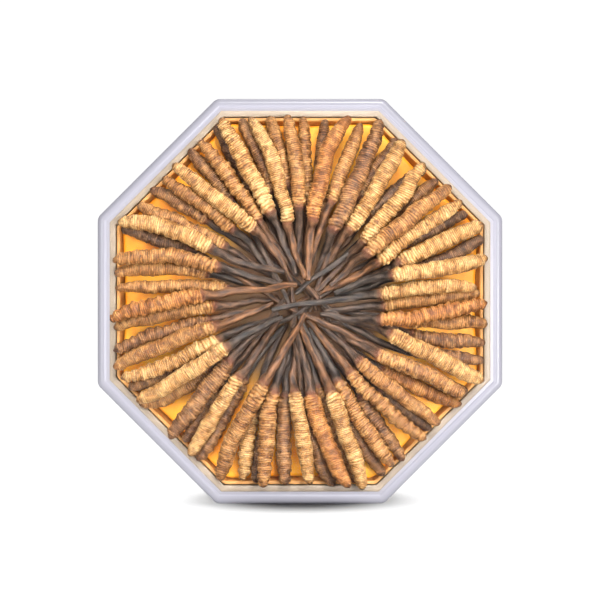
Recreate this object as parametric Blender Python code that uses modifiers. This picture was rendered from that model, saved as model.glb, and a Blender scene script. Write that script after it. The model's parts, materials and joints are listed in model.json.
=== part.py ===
"""A clear eight-sided case of dried cordyceps, laid like the spokes of a wheel.

The case stands on one of its flats. X runs to the right, Z up, and the lid faces -Y.
The origin is the middle of the footprint, under the case.
"""

import math

import bmesh
import bpy
import numpy as np
from mathutils import Matrix

MM = 0.001

# The case. "Half" sizes run from the middle of the octagon to the middle of a flat.
SIDES = 8
CASE_HALF = 60 * MM
CASE_DEPTH = 28 * MM
FRONT = -CASE_DEPTH / 2
BACK = CASE_DEPTH / 2
CENTRE_Z = CASE_HALF
CORNER_RADIUS = 3.0 * MM
EDGE_RADIUS = 2.2 * MM
FLANGE_EDGE_RADIUS = 0.6 * MM
LID_WALL = 1.6 * MM
FLANGE_THICKNESS = 2.0 * MM
BASE_WALL = 2.0 * MM
CLEARANCE = 0.3 * MM

# The tray and the cushion. The bed is the plane that the lowest fungi lie on.
BED_Y = 2.0 * MM
TRAY_WALL = 2.4 * MM
TRAY_CORNER_RADIUS = 2.0 * MM
CUSHION_CORNER_RADIUS = 5.0 * MM
CUSHION_EDGE_RADIUS = 1.8 * MM

LID_BACK = BACK - FLANGE_THICKNESS - CLEARANCE
LID_INNER_Y = FRONT + LID_WALL
BASE_HALF = CASE_HALF - LID_WALL - CLEARANCE
BASE_FLOOR_Y = BACK - FLANGE_THICKNESS
TRAY_HALF = BASE_HALF - BASE_WALL - CLEARANCE
TRAY_BACK = BASE_FLOOR_Y - CLEARANCE
CUSHION_HALF = TRAY_HALF - TRAY_WALL - CLEARANCE
CUSHION_BACK = TRAY_BACK - TRAY_WALL - CLEARANCE

# A fungus. Its girth varies along it: (share of the body's length, share of the girth).
BODY_STATIONS = ((0.0, 0.45), (0.06, 0.84), (0.34, 1.0), (0.70, 1.0), (0.95, 0.92), (1.0, 0.58))
# The stalk leaves the head: (share of the stalk's length, thickness as a share of the girth).
STALK_STATIONS = ((0.10, 0.46), (0.55, 0.38), (1.0, 0.24))
STALK_LEAD = 0.45
TUBE_SIDES_SETTING = 2
FINE_STEP = 0.6 * MM

# How the heap settles. A fungus is stiff: its body balances on two supports, its stalk
# bends down a little beyond the head, and the whole may turn a few degrees into a groove.
HEAP_GAP = 0.12 * MM
BED_GAP = 0.25 * MM
BALANCE_SHARE = 0.48
STALK_BEND = 18.0
STEEPEST_STALK = -0.35
EASING_PASSES = 60
LIFT_PASSES = 8
TURN_COST = 0.12 * MM
HIDDEN_FREEDOM = 0.0

# One row is one fungus: bearing and reach of the tail, bearing and reach of the head, bow
# of the body at its middle, girth, then bearing and reach of the stalk's tip. Bearings are
# degrees clockwise from the top; reaches and girths are millimetres from the case's middle.
# The rows run in the order of laying, so a later one rests on the earlier ones.

# The lowest layer shows only by its tails. Its room is kept, and the finer model draws it.
HIDDEN_LAYER = (
    (31.0, 57.5, 29.0, 36.0, 0.0, 4.4, 27.0, 14.0),
    (48.5, 55.8, 47.0, 35.0, 0.0, 4.4, 44.0, 13.5),
    (62.5, 57.3, 61.0, 36.0, 0.0, 4.5, 63.0, 14.0),
    (107.5, 58.6, 114.0, 38.0, 0.0, 4.4, 118.0, 13.5),
    (118.5, 58.0, 120.5, 38.0, 0.0, 4.4, 127.0, 14.0),
    (134.5, 55.8, 137.5, 36.0, 0.0, 4.2, 141.0, 14.0),
    (154.5, 58.8, 157.5, 37.0, 0.0, 4.5, 160.0, 14.0),
    (169.5, 57.2, 176.5, 36.0, 0.5, 4.4, 182.0, 13.5),
    (193.5, 56.8, 195.0, 36.0, 0.0, 4.4, 199.0, 13.5),
    (219.5, 55.4, 222.5, 36.0, 0.0, 4.4, 226.0, 13.5),
    (243.0, 58.4, 240.5, 37.0, 0.0, 4.5, 238.0, 14.0),
    (292.0, 58.6, 294.0, 37.0, 0.5, 4.4, 298.0, 13.5),
    (307.0, 56.9, 311.0, 37.0, 0.0, 4.4, 315.0, 14.0),
    (324.0, 57.2, 325.5, 37.0, 0.0, 4.4, 330.0, 13.5),
    (334.0, 59.0, 336.5, 37.0, 0.0, 4.4, 341.0, 13.5),
)

LOWER_LAYER = (
    (43.5, 55.6, 40.5, 33.0, 0.0, 4.6, 36.0, 11.0),
    (71.0, 59.0, 75.5, 33.0, 0.5, 4.7, 80.0, 10.5),
    (147.0, 57.8, 147.5, 34.0, 0.4, 4.6, 152.0, 10.5),
    (342.0, 58.2, 346.0, 34.0, 0.0, 4.6, 352.0, 10.5),
    (102.5, 57.6, 108.0, 35.0, 0.3, 4.6, 114.0, 10.5),
    (122.5, 58.2, 130.0, 32.0, 0.0, 4.7, 136.0, 9.0),
    (237.5, 58.0, 231.5, 34.0, -2.0, 4.7, 228.0, 10.0),
    (255.0, 58.6, 257.5, 27.5, 0.8, 4.8, 262.0, 9.0),
    (278.5, 57.0, 287.0, 29.0, 0.9, 4.7, 291.0, 9.0),
    (350.5, 57.0, 354.5, 35.0, 0.0, 4.6, 1.0, 11.0),
    (98.5, 57.4, 103.0, 33.0, -0.8, 4.7, 105.0, 10.0),
    (0.8, 56.2, 1.5, 30.0, -0.5, 4.4, 6.0, 9.0),
    (6.5, 55.8, 10.5, 27.0, -1.2, 4.6, 15.0, 9.0),
    (198.0, 57.2, 203.0, 30.5, -0.3, 4.8, 214.0, 8.0),
    (19.0, 57.2, 15.5, 31.0, 0.0, 4.5, 13.0, 8.0),
    (213.0, 57.6, 213.5, 28.5, -1.4, 4.9, 211.0, 9.0),
    (67.5, 60.2, 69.0, 32.0, -1.2, 5.5, 72.0, 9.0),
    (184.5, 56.0, 190.0, 28.5, 0.0, 4.9, 186.0, 8.0),
)

MIDDLE_LAYER = (
    (32.5, 57.8, 36.5, 26.0, 1.0, 5.2, 44.0, 9.0),
    (57.0, 57.5, 65.5, 26.0, -1.8, 4.8, 249.0, 3.5),
    (87.5, 54.6, 95.0, 25.0, -1.1, 4.7, 114.0, 8.0),
    (119.5, 57.2, 124.0, 28.0, -1.6, 4.9, 131.0, 8.5),
    (150.5, 57.2, 153.0, 26.5, 0.6, 4.8, 163.0, 8.5),
    (131.5, 56.2, 132.5, 25.0, 0.0, 4.7, 139.0, 8.0),
    (163.0, 57.6, 168.0, 26.0, -0.4, 4.0, 174.0, 9.0),
    (178.0, 55.5, 182.5, 27.0, -1.6, 4.7, 168.0, 7.5),
    (223.5, 57.2, 230.0, 27.5, -1.0, 5.5, 243.0, 7.5),
    (245.5, 58.8, 245.0, 27.0, -1.6, 4.9, 236.0, 8.0),
    (260.5, 57.2, 264.0, 25.5, 1.0, 4.9, 281.0, 6.5),
    (274.0, 56.2, 282.0, 22.0, 0.0, 4.1, 301.0, 7.5),
    (301.5, 57.2, 307.5, 28.0, 0.4, 4.9, 318.0, 8.0),
    (312.0, 55.8, 315.0, 29.5, -0.5, 4.6, 306.0, 8.5),
    (329.0, 57.2, 333.0, 27.0, 0.0, 4.9, 102.0, 6.5),
    (354.5, 56.4, 357.5, 28.0, 0.5, 4.8, 349.0, 7.5),
)

UPPER_LAYER = (
    (15.0, 57.8, 10.8, 24.5, -2.2, 5.1, 22.0, 6.5),
    (41.0, 56.0, 45.0, 26.0, 0.0, 5.1, 62.0, 6.0),
    (78.0, 58.2, 73.5, 28.5, 1.2, 5.0, 76.0, 10.5),
    (114.5, 60.4, 111.5, 28.5, 0.7, 5.3, 124.0, 11.0),
    (91.5, 56.6, 105.5, 24.5, -1.6, 5.0, 122.0, 7.0),
    (137.5, 56.4, 144.5, 26.0, 0.0, 4.8, 162.0, 6.0),
    (160.5, 60.0, 160.0, 28.5, -1.0, 5.1, 183.0, 7.0),
    (190.0, 57.2, 196.5, 28.0, 0.0, 5.1, 189.0, 8.0),
    (215.5, 57.4, 219.0, 29.0, 0.0, 4.8, 230.0, 8.0),
    (239.5, 57.8, 238.0, 25.5, -1.0, 5.0, 226.0, 7.0),
    (249.5, 60.0, 253.0, 26.0, 0.0, 4.9, 268.0, 8.0),
    (283.0, 57.8, 293.0, 26.5, 1.4, 4.9, 311.0, 7.0),
    (318.0, 56.2, 327.0, 25.5, -2.2, 4.9, 340.0, 6.0),
    (344.5, 57.4, 351.5, 23.5, 1.3, 4.6, 12.0, 7.0),
    (23.0, 60.4, 26.0, 23.5, 0.6, 5.3, 31.0, 9.0),
    (51.5, 57.2, 54.0, 24.5, -0.5, 5.1, 63.0, 10.0),
    (84.5, 53.4, 82.5, 24.0, -1.0, 4.5, 252.0, 9.0),
    (165.0, 58.0, 173.5, 28.0, 0.4, 5.3, 196.0, 7.0),
    (204.0, 59.6, 205.0, 26.5, 1.8, 5.3, 155.0, 4.0),
    (264.5, 57.6, 272.5, 29.0, 0.0, 5.2, 350.0, 5.0),
    (294.5, 60.0, 299.5, 31.0, 1.5, 5.1, 331.0, 9.5),
    (336.5, 60.2, 341.5, 28.0, -0.6, 5.2, 352.0, 8.0),
)

# Each modelled layer with the degrees that its fungi may turn to find a groove.
LAYERS = ((LOWER_LAYER, 1.5), (MIDDLE_LAYER, 1.2), (UPPER_LAYER, 1.0))

# Colours in linear RGB.
CLEAR_PLASTIC = (0.92, 0.93, 0.95)
AMBER_CLOTH = (0.86, 0.42, 0.06)
DRIED_TAN = (0.48, 0.26, 0.10)


def clear_scene():
    """Remove every object of the open scene."""
    for item in list(bpy.data.objects):
        bpy.data.objects.remove(item, do_unlink=True)


def new_collection(name):
    """Return a new collection linked to the scene."""
    collection = bpy.data.collections.new(name)
    bpy.context.scene.collection.children.link(collection)
    return collection


def material(name, colour, roughness, transmission=0.0):
    """Return a Principled material."""
    finish = bpy.data.materials.new(name)
    finish.use_nodes = True
    shader = finish.node_tree.nodes["Principled BSDF"]
    shader.inputs["Base Color"].default_value = (*colour, 1.0)
    shader.inputs["Roughness"].default_value = roughness
    shader.inputs["Metallic"].default_value = 0.0
    shader.inputs["Transmission Weight"].default_value = transmission
    return finish


# ---------------------------------------------------------------- the case and its bed


def octagon_prism(name, half, front, back, collection):
    """Add an eight-sided prism that lies along Y between front and back, a flat downwards."""
    mesh = bpy.data.meshes.new(name)
    shape = bmesh.new()
    radius = half / math.cos(math.pi / SIDES)
    bmesh.ops.create_cone(
        shape, cap_ends=True, segments=SIDES, radius1=radius, radius2=radius, depth=back - front
    )
    half_turn = Matrix.Rotation(math.pi / SIDES, 4, "Z")
    lay_down = Matrix.Rotation(math.pi / 2, 4, "X")
    bmesh.ops.transform(shape, matrix=lay_down @ half_turn, verts=shape.verts)
    bmesh.ops.recalc_face_normals(shape, faces=shape.faces)
    shape.to_mesh(mesh)
    shape.free()
    prism = bpy.data.objects.new(name, mesh)
    prism.location = (0.0, (front + back) / 2, CENTRE_Z)
    collection.objects.link(prism)
    return prism


def open_face(prism, direction):
    """Take away the prism's end face whose normal has this sign along Y."""
    shape = bmesh.new()
    shape.from_mesh(prism.data)
    ends = [face for face in shape.faces if face.normal.y * direction > 0.9]
    bmesh.ops.delete(shape, geom=ends, context="FACES")
    shape.to_mesh(prism.data)
    shape.free()


def edge_weights(prism, corner_weight, rim_weight, rim_direction):
    """Weight the edges for Bevel: the eight along Y, and those round one or both ends."""
    mesh = prism.data
    values = np.zeros(len(mesh.edges))
    for index, edge in enumerate(mesh.edges):
        first = mesh.vertices[edge.vertices[0]].co
        second = mesh.vertices[edge.vertices[1]].co
        if abs(first.y - second.y) > MM:
            values[index] = corner_weight
        elif rim_direction == 0 or first.y * rim_direction > 0:
            values[index] = rim_weight
    layer = mesh.attributes.new("bevel_weight_edge", "FLOAT", "EDGE")
    layer.data.foreach_set("value", values)


def round_edges(prism, corner_radius, rim_radius, rim_direction=0, segments=2):
    """Round the corners, then the rim, of a prism with weighted Bevel modifiers."""
    largest = max(corner_radius, rim_radius)
    edge_weights(prism, corner_radius / largest, rim_radius / largest, rim_direction)
    rounding = prism.modifiers.new("rounded edges", "BEVEL")
    rounding.limit_method = "WEIGHT"
    rounding.width = largest
    rounding.segments = segments


def add_wall(prism, thickness):
    """Give an open prism a wall that grows inwards."""
    wall = prism.modifiers.new("wall", "SOLIDIFY")
    wall.thickness = thickness
    wall.offset = -1.0
    wall.use_even_offset = True


def add_boolean(target, tool, operation):
    """Join a tool to the target, or cut it away."""
    step = target.modifiers.new(tool.name, "BOOLEAN")
    step.operation = operation
    step.object = tool
    step.solver = "EXACT"
    tool.hide_render = True
    tool.display_type = "WIRE"


def make_lid(collection, finish):
    """The lid: one open prism with a wall, rounded where the front meets the sides."""
    lid = octagon_prism("case_lid", CASE_HALF, FRONT, LID_BACK, collection)
    open_face(lid, 1)
    round_edges(lid, CORNER_RADIUS, EDGE_RADIUS, rim_direction=-1)
    add_wall(lid, LID_WALL)
    lid.data.materials.append(finish)
    return lid


def make_base(collection, cutters, finish):
    """The base: a flange plate with a low wall joined to it, hollowed from the front."""
    base = octagon_prism("case_base", CASE_HALF, BASE_FLOOR_Y, BACK, collection)
    round_edges(base, CORNER_RADIUS, FLANGE_EDGE_RADIUS, rim_direction=1)
    wall = octagon_prism("base_wall", BASE_HALF, BED_Y, BACK - MM, cutters)
    round_edges(wall, CORNER_RADIUS - LID_WALL, 0.0)
    add_boolean(base, wall, "UNION")
    hollow_half = BASE_HALF - BASE_WALL
    hollow = octagon_prism("base_hollow", hollow_half, BED_Y - 2 * MM, BASE_FLOOR_Y, cutters)
    round_edges(hollow, MM, 0.0)
    add_boolean(base, hollow, "DIFFERENCE")
    base.data.materials.append(finish)
    return base


def make_tray(collection, finish):
    """The cloth-covered tray: an open prism with a floor and a wall."""
    tray = octagon_prism("cloth_tray", TRAY_HALF, BED_Y, TRAY_BACK, collection)
    open_face(tray, -1)
    round_edges(tray, TRAY_CORNER_RADIUS, 0.0)
    add_wall(tray, TRAY_WALL)
    tray.data.materials.append(finish)
    return tray


def make_cushion(collection, finish):
    """The cushion: a flat pad with rounded edges, inside the tray's wall."""
    cushion = octagon_prism("cushion", CUSHION_HALF, BED_Y, CUSHION_BACK, collection)
    round_edges(cushion, CUSHION_CORNER_RADIUS, CUSHION_EDGE_RADIUS)
    cushion.data.materials.append(finish)
    return cushion


# ---------------------------------------------------------------- the fungi


def spoke_point(bearing, reach):
    """Return the place (x, z) at a bearing and a reach from the middle of the case."""
    angle = np.radians(bearing)
    return np.stack((np.sin(angle) * reach, np.cos(angle) * reach), axis=-1)


def body_line(row, share):
    """Return body points: the bearing drifts from tail to head, with a bow between."""
    tail_bearing, tail_reach, head_bearing, head_reach, bow = row[:5]
    bearing = tail_bearing + (head_bearing - tail_bearing) * share
    bearing = bearing + bow * np.sin(math.pi * share)
    reach = (tail_reach + (head_reach - tail_reach) * share) * MM
    return spoke_point(bearing, reach)


def stalk_line(row, share):
    """Return stalk points: it leaves in line with the body and bends over to its tip."""
    head, before = body_line(row, np.array([1.0, 0.95]))
    tip = spoke_point(row[6], row[7] * MM)
    onward = (head - before) / np.linalg.norm(head - before)
    lead = head + onward * np.linalg.norm(tip - head) * STALK_LEAD
    share = share[:, None]
    return (1 - share) ** 2 * head + 2 * share * (1 - share) * lead + share**2 * tip


def plan_of(row):
    """Return a fungus seen from the front: its points and their radii, tail to stalk tip."""
    girth = row[5] * MM
    body = np.array(BODY_STATIONS)
    stalk = np.array(STALK_STATIONS)
    points = np.concatenate((body_line(row, body[:, 0]), stalk_line(row, stalk[:, 0])))
    radii = np.concatenate((body[:, 1], stalk[:, 1])) * girth / 2
    return points, radii


def refine(points, radii):
    """Return close points (x, z, radius) along the line, and their places on it."""
    steps = np.linalg.norm(np.diff(points, axis=0), axis=1)
    along = np.concatenate(([0.0], np.cumsum(steps)))
    fine = np.linspace(0.0, along[-1], int(along[-1] / FINE_STEP) + 2)
    columns = (points[:, 0], points[:, 1], radii)
    return np.stack([np.interp(fine, along, column) for column in columns]), fine, along


def support_height(close, heap):
    """Return how high each close point has to lie to clear the bed and the heap.

    Both hold one column a point: x, z, radius, and in the heap the height too.
    """
    height = -BED_Y + BED_GAP + close[2]
    apart_squared = (close[0][:, None] - heap[0]) ** 2 + (close[1][:, None] - heap[1]) ** 2
    room = (close[2][:, None] + heap[2] + HEAP_GAP) ** 2 - apart_squared
    over = np.where(room > 0, heap[3] + np.sqrt(np.maximum(room, 0)), -1.0)
    return np.maximum(height, over.max(axis=1, initial=-1.0))


def resting_line(along, height, balance):
    """Return the straight line over the supports that a stiff rod balanced here rests on.

    The rod touches one support on each side of its balance point, and lies over the rest.
    """
    before = along <= balance
    after = ~before
    rise = height[after][None, :] - height[before][:, None]
    run = along[after][None, :] - along[before][:, None]
    at_balance = height[before][:, None] + rise / run * (balance - along[before][:, None])
    first, second = np.unravel_index(at_balance.argmax(), at_balance.shape)
    slope = rise[first, second] / run[first, second]
    return at_balance[first, second] + slope * (along - balance)


def droop(line, height, along, head):
    """Let the stalk bend down from the head's end until it meets what lies under it."""
    start = int(np.searchsorted(along, head))
    step = along[1] - along[0]
    slope = (line[start] - line[start - 1]) / step
    for index in range(start + 1, len(line)):
        slope = max(slope - STALK_BEND * step, STEEPEST_STALK)
        line[index] = max(height[index], line[index - 1] + slope * step)
        slope = min((line[index] - line[index - 1]) / step, -STEEPEST_STALK)
    for _ in range(EASING_PASSES):
        middle = 0.5 * (line[start - 1 : -2] + line[start + 1 :])
        line[start:-1] = np.maximum(line[start:-1], middle)
    return line


def station_heights(line, height, fine, along):
    """Return the heights of the stations whose straight stretches clear every support."""
    stations = np.interp(along, fine, line)
    for _ in range(LIFT_PASSES):
        for index in range(len(along) - 1):
            inside = (fine >= along[index] - MM / 100) & (fine <= along[index + 1] + MM / 100)
            short = height[inside] - np.interp(fine[inside], along, stations)
            lift = max(0.0, short.max())
            length = along[index + 1] - along[index]
            place = (fine[inside][short.argmax()] - along[index]) / length
            stations[index] += lift * (1.0 - 0.5 * place)
            stations[index + 1] += lift * (0.5 + 0.5 * place)
    return stations


def try_row(row, heap):
    """Return how one fungus would lie: its plan, radii, heights and its part of the heap."""
    points, radii = plan_of(row)
    close, fine, along = refine(points, radii)
    height = support_height(close, heap)
    head = along[len(BODY_STATIONS) - 1]
    line = resting_line(fine[fine <= head], height[fine <= head], head * BALANCE_SHARE)
    line = np.concatenate((line, height[fine > head]))
    line = droop(np.maximum(line, height), height, fine, head)
    stations = station_heights(line, height, fine, along)
    return points, radii, stations, np.vstack((close, np.interp(fine, along, stations)))


def lay(row, heap, freedom):
    """Lay one fungus in the nearest groove.

    Returns its stations (x, y, z), their radii and the heap with it added.
    """
    best = None
    for tail_turn in (0.0, -freedom, freedom):
        for head_turn in (0.0, -freedom, freedom, -2 * freedom, 2 * freedom):
            turned = (row[0] + tail_turn, row[1], row[2] + head_turn, *row[3:])
            trial = try_row(turned, heap)
            cost = trial[2].max() + TURN_COST * (abs(tail_turn) + abs(head_turn))
            if best is None or cost < best[0]:
                best = (cost, trial)
        if freedom == 0.0:
            break
    points, radii, stations, added = best[1]
    places = np.stack((points[:, 0], -stations, points[:, 1] + CENTRE_Z), axis=-1)
    return places, radii, np.hstack((heap, added))


def make_fungus(name, places, radii, collection, finish):
    """Add one fungus: a poly curve whose radius follows the body and the stalk."""
    curve = bpy.data.curves.new(name, "CURVE")
    curve.dimensions = "3D"
    curve.bevel_depth = 1.0
    curve.bevel_resolution = TUBE_SIDES_SETTING
    curve.use_fill_caps = True
    spline = curve.splines.new("POLY")
    spline.points.add(len(places) - 1)
    for point, place, radius in zip(spline.points, places, radii):
        point.co = (*place, 1.0)
        point.radius = radius
    curve.materials.append(finish)
    fungus = bpy.data.objects.new(name, curve)
    collection.objects.link(fungus)
    return fungus


def make_heap(collection, finish):
    """Lay all the fungi in order and model every one above the hidden layer."""
    heap = np.empty((4, 0))
    for row in HIDDEN_LAYER:
        heap = lay(row, heap, HIDDEN_FREEDOM)[2]
    number = 0
    for layer, freedom in LAYERS:
        for row in layer:
            number += 1
            places, radii, heap = lay(row, heap, freedom)
            make_fungus(f"cordyceps_{number:02d}", places, radii, collection, finish)


def main():
    """Model the case, its bed and the fungi."""
    clear_scene()
    collection = new_collection("dried_cordyceps_case")
    cutters = new_collection("cutters")
    plastic = material("clear polystyrene", CLEAR_PLASTIC, 0.05, transmission=1.0)
    cloth = material("amber satin cloth", AMBER_CLOTH, 0.5)
    dried = material("dried fungus", DRIED_TAN, 0.8)
    make_lid(collection, plastic)
    make_base(collection, cutters, plastic)
    make_tray(collection, cloth)
    make_cushion(collection, cloth)
    make_heap(collection, dried)


main()
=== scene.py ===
"""Looks of a clear octagonal case of dried cordyceps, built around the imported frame.

Every fungus follows the solid that stands for it: the rings of that solid give the line and
the girth, and the surface adds the rings, plates, feet and wrinkles of the real thing.
"""

import json
import logging
import math
from dataclasses import dataclass
from enum import Enum
from typing import Sequence

import bpy
import numpy as np
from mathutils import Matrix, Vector

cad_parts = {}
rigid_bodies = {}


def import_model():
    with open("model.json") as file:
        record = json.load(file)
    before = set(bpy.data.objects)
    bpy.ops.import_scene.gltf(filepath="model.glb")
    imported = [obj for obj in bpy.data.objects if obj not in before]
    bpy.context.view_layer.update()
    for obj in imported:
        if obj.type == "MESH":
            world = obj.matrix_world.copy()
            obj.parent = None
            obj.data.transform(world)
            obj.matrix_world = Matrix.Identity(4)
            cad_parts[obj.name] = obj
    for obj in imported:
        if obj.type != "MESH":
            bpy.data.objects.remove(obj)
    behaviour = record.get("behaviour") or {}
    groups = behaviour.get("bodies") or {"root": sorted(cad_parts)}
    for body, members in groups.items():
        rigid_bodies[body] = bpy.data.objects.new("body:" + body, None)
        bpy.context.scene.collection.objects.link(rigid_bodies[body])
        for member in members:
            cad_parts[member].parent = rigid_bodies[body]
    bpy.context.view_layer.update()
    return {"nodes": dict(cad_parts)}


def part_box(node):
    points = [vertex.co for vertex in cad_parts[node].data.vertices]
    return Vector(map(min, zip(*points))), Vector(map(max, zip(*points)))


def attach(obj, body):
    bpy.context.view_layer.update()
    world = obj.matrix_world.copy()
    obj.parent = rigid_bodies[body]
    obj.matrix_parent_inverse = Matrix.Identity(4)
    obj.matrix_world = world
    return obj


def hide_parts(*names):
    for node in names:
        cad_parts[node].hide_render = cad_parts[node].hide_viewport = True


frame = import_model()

LOG = logging.getLogger("cordyceps_case")
MM = 0.001
Array = np.ndarray
ShaderNode = bpy.types.ShaderNode


# ------------------------------------------------------------------ colour and node helpers


def srgb(hex_colour: str) -> tuple[float, float, float, float]:
    """Turn an sRGB hex colour into linear RGBA.

    Args:
        hex_colour: six hex digits with a leading hash.

    Returns:
        The linear red, green and blue, and an alpha of one.
    """
    digits = hex_colour.lstrip("#")
    encoded = [int(digits[place:place + 2], 16) / 255 for place in (0, 2, 4)]
    linear = [c / 12.92 if c <= 0.04045 else ((c + 0.055) / 1.055) ** 2.4 for c in encoded]
    return (linear[0], linear[1], linear[2], 1.0)


class Graph:
    """A material's node tree with one way of adding a node."""

    def __init__(self, name: str) -> None:
        """Start a material that holds only an output."""
        self.material = bpy.data.materials.new(name)
        self.material.use_nodes = True
        self.tree = self.material.node_tree
        self.tree.nodes.clear()
        self.output = self.tree.nodes.new("ShaderNodeOutputMaterial")

    def add(self, kind: str, settings: dict | None = None, **inputs: object) -> ShaderNode:
        """Add a node with its settings and links.

        Args:
            kind: the node's type name without its ShaderNode prefix.
            settings: properties to set on the node; stops holds a colour ramp's places and
                hex colours.
            inputs: values or sockets by input name, with underscores for spaces; a name
                such as input_1 means the socket at that place.

        Returns:
            The new node.
        """
        node = self.tree.nodes.new("ShaderNode" + kind)
        settings = dict(settings or {})
        stops = settings.pop("stops", ())
        for key, value in settings.items():
            setattr(node, key, value)
        while stops and len(node.color_ramp.elements) < len(stops):
            node.color_ramp.elements.new(1.0)
        for number, (place, colour) in enumerate(stops):
            node.color_ramp.elements[number].position = place
            node.color_ramp.elements[number].color = srgb(colour)
        for key, value in inputs.items():
            place = key.removeprefix("input_")
            socket = node.inputs[int(place)] if place.isdigit() else node.inputs[key.replace("_", " ")]
            if isinstance(value, bpy.types.NodeSocket):
                self.tree.links.new(value, socket)
            else:
                socket.default_value = value
        return node

    def finish(self, surface: ShaderNode, volume: ShaderNode | None = None) -> bpy.types.Material:
        """Link the shaders to the output.

        Args:
            surface: the node of the surface shader.
            volume: the node of the volume shader, where there is one.

        Returns:
            The finished material.
        """
        self.tree.links.new(surface.outputs[0], self.output.inputs["Surface"])
        if volume is not None:
            self.tree.links.new(volume.outputs[0], self.output.inputs["Volume"])
        return self.material


# ------------------------------------------------------------------ finishes


@dataclass(frozen=True)
class Cuticle:
    """Dried larva skin: chitin plates gone brown, dull.

    Its colour follows the relief: dark in the creases between the rings, pale and chalky on the ridges,
    the swells and the collar. This is partly the skin's own colour and partly painted shade in the
    creases and painted light on what stands out. The ridges are faintly waxy, and fine wrinkles run
    round the body. The stalk is a tough grey-brown fungus.
    """

    name: str
    crease: str
    flank: str
    ridge: str
    blotch: str
    blotch_share: float = 0.35
    head: str = "#633422"
    stain: str = "#4A2B1C"
    stalk_dark: str = "#17110D"
    stalk_light: str = "#54463C"
    warm_dark: str = "#321E12"
    warm_light: str = "#8B5E3B"
    roughness: float = 0.57
    flank_place: float = 0.48
    mottle_mm: float = 2.2
    grain_mm: float = 0.3

    def build(self) -> bpy.types.Material:
        """Build the material from the attributes that every fungus carries.

        The skin's colours lie under its blotches, the stains, the head's cap and the stalk,
        in that order. The grain and the wrinkles then darken all of it; the wrinkles' dips are darkened
        as painted shade.

        Returns:
            The material.
        """
        graph = Graph(self.name)
        place = graph.add("TexCoord").outputs["Object"]
        relief, stalk, head, stain, warm = (
            graph.add("Attribute", {"attribute_name": name}).outputs["Fac"]
            for name in ("relief", "stalk", "head", "stain", "warm")
        )
        round_about = graph.add("Attribute", {"attribute_name": "wrinkle"}).outputs["Vector"]
        mottle = graph.add(
            "TexNoise", Vector=place, Scale=1 / (self.mottle_mm * MM), Detail=4.0, Roughness=0.6
        ).outputs["Fac"]
        grain = graph.add(
            "TexNoise", Vector=place, Scale=1 / (self.grain_mm * MM), Detail=2.0, Roughness=0.5
        ).outputs["Fac"]
        wrinkle = graph.add(
            "TexNoise", Vector=round_about, Scale=1.0, Detail=3.0, Roughness=0.55
        ).outputs["Fac"]
        # The skin runs from the crease colour to the ridge colour with the relief: partly its own
        # colour, partly painted shade in the creases and painted light on the ridges.
        skin, grey, brown = (
            graph.add("ValToRGB", {"stops": stops}, Fac=relief).outputs["Color"]
            for stops in (
                ((0.0, self.crease), (self.flank_place, self.flank), (1.0, self.ridge)),
                ((0.0, self.stalk_dark), (1.0, self.stalk_light)),
                ((0.0, self.warm_dark), (1.0, self.warm_light)),
            )
        )
        wood = graph.add("Mix", {"data_type": "RGBA"}, input_0=warm, input_6=grey, input_7=brown)
        share = graph.add(
            "MapRange", Value=mottle, From_Min=0.6 - 0.3 * self.blotch_share, From_Max=0.72
        )
        layers = (
            (share.outputs[0], srgb(self.blotch)), (stain, srgb(self.stain)),
            (head, srgb(self.head)), (stalk, wood.outputs[2]),
        )
        surface = skin
        for amount, colour in layers:
            surface = graph.add(
                "Mix", {"data_type": "RGBA"}, input_0=amount, input_6=surface, input_7=colour
            ).outputs[2]
        speck = graph.add(
            "MapRange", Value=grain, From_Min=0.3, From_Max=0.7, To_Min=0.74, To_Max=1.18
        )
        # Darker where the wrinkles' bump is low: painted shade in their dips.
        lined = graph.add(
            "MapRange", Value=wrinkle, From_Min=0.38, From_Max=0.58, To_Min=0.6, To_Max=1.12
        )
        shade = graph.add(
            "Math", {"operation": "MULTIPLY"}, input_0=speck.outputs[0], input_1=lined.outputs[0]
        )
        toned = graph.add(
            "Mix", {"data_type": "RGBA", "blend_type": "MULTIPLY"}, input_0=1.0,
            input_6=surface, input_7=shade.outputs[0],
        )
        fine = graph.add("Bump", Height=grain, Strength=0.4, Distance=0.1 * MM)
        bump = graph.add(
            "Bump", Height=wrinkle, Strength=0.8, Distance=0.16 * MM, Normal=fine.outputs[0]
        )
        shader = graph.add(
            "BsdfPrincipled", Base_Color=toned.outputs[2], Roughness=self.roughness,
            IOR=1.5, Normal=bump.outputs[0], Specular_IOR_Level=0.38,
        )
        return graph.finish(shader)


@dataclass(frozen=True)
class MouldedPolystyrene:
    """Clear general-purpose polystyrene, injection moulded.

    Where the tool is polished it is bright and hard; where the tool is only blasted it
    scatters a little. Light that runs through it edgeways comes out grey-violet. A darker
    glare is what a polarising filter leaves of the mirror image in a flat face.
    """

    name: str
    roughness: float = 0.012
    index: float = 1.59
    edge_tint: str = "#B2AEC0"
    density: float = 26.0
    body: str = "#FFFFFF"
    clarity: float = 1.0
    glare: str = "#FFFFFF"

    def build(self) -> bpy.types.Material:
        """Build the material with plain transmission and absorption values.

        Returns:
            The material.
        """
        graph = Graph(self.name)
        shader = graph.add(
            "BsdfPrincipled", Base_Color=srgb(self.body), Roughness=self.roughness,
            IOR=self.index, Transmission_Weight=self.clarity, Specular_Tint=srgb(self.glare),
        )
        tint = graph.add("VolumeAbsorption", Color=srgb(self.edge_tint), Density=self.density)
        return graph.finish(shader, tint)


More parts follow.
